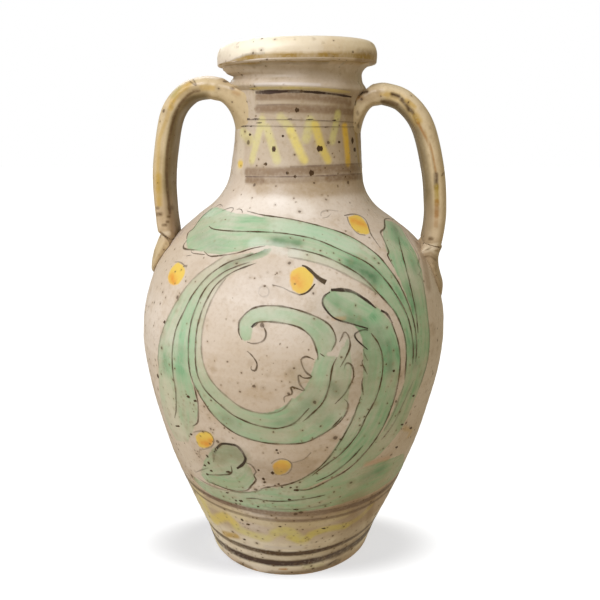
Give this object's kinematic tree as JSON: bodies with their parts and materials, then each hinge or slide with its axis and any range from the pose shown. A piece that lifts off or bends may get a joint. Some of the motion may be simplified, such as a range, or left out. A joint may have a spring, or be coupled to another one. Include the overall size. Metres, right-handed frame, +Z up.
{
  "type": "maiolica jug",
  "caption": "Tall two-handled glazed earthenware jug with an ovoid body, narrow neck and flared lip, painted with a traditional leaf scroll, for holding and pouring liquid.",
  "frame": {"origin": "centre of the flat foot, on the surface that the jug stands on", "axes": "+Z up along the jug's axis; the handles lie at -X and near +X; the painted front faces -Y"},
  "size_m": [0.2388, 0.2388, 0.403],
  "materials": {
    "body_glaze": "glossy off-white tin glaze over earthenware, with in-glaze painting",
    "handle_glaze": "glossy off-white tin glaze with ochre streaks"
  },
  "bodies": {
    "root": {"lower_body": "body_glaze", "upper_body": "body_glaze", "neck": "body_glaze", "mouth": "body_glaze", "left_handle": "handle_glaze", "right_handle": "handle_glaze", "left_root_wad": "handle_glaze", "right_root_wad": "handle_glaze", "left_heel_wad": "handle_glaze", "right_heel_wad": "handle_glaze"}
  },
  "joints": []
}
